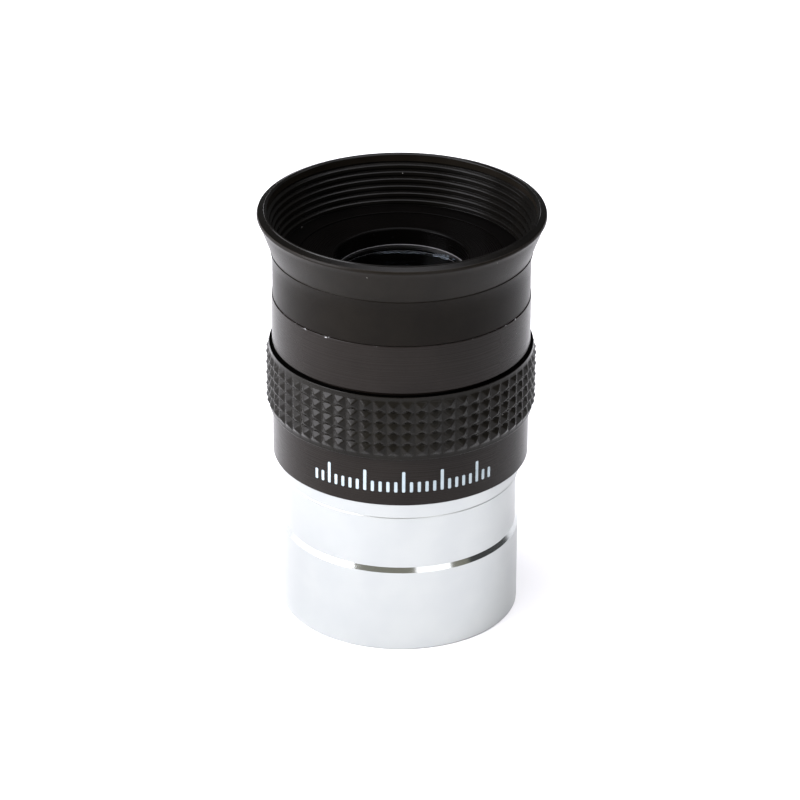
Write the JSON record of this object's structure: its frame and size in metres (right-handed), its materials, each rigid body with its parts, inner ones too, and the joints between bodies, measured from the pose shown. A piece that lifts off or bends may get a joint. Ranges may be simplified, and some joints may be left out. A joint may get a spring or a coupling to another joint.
{
  "type": "telescope eyepiece",
  "caption": "Push-fit telescope eyepiece with a polished grooved barrel, a black housing, a studded rubber grip band and a flared fold-down eyecup.",
  "frame": {"origin": "centre of the nosepiece's mouth, on the plane that the eyepiece stands on", "axes": "+Z along the optical axis towards the eye; the object is turned about Z, and -Y faces the printed marks"},
  "size_m": [0.0382, 0.0382, 0.0574],
  "materials": {
    "barrel_chrome": "satin chrome plate with a mirror-polished bevel",
    "black_anodised": "satin black anodised",
    "blackened_metal": "matt black oxide",
    "grip_rubber": "moulded satin rubber with pyramid studs",
    "cup_rubber": "fine-grained matt rubber",
    "coated_glass": "polished, coated",
    "mark_ink": "pale pad-printed ink"
  },
  "bodies": {
    "housing": {"housing": "black_anodised", "grip_ring": "grip_rubber", "lens_cell": "blackened_metal", "eye_flint": "coated_glass", "eye_crown": "coated_glass", "lens_spacer": "blackened_metal", "field_crown": "coated_glass", "field_flint": "coated_glass", "cell_retainer": "blackened_metal", "eyecup_sleeve": "cup_rubber", "eyecup_skirt": "cup_rubber"},
    "barrel_travel": {"field_stop": "blackened_metal"},
    "barrel": {"barrel": "barrel_chrome"},
    "eyecup_lip": {"eyecup_lip": "cup_rubber"}
  },
  "joints": [
    {"name": "barrel_advance", "type": "slide", "parent": "housing", "child": "barrel_travel", "axis": [0, 0, -1], "range_m": [0, 0.0045]},
    {"name": "barrel_screw", "type": "hinge", "parent": "barrel_travel", "child": "barrel", "pos_m": [0, 0, 0.02235], "axis": [0, 0, -1], "range_deg": [0, 2160]},
    {"name": "eyecup_fold", "type": "slide", "parent": "housing", "child": "eyecup_lip", "axis": [0, 0, -1], "range_m": [0, 0.01], "deforming": ["eyecup_skirt"]}
  ],
  "couplings": [
    {"joint": "barrel_advance", "follows": "barrel_screw", "m_per_rad": 0.00011937}
  ]
}
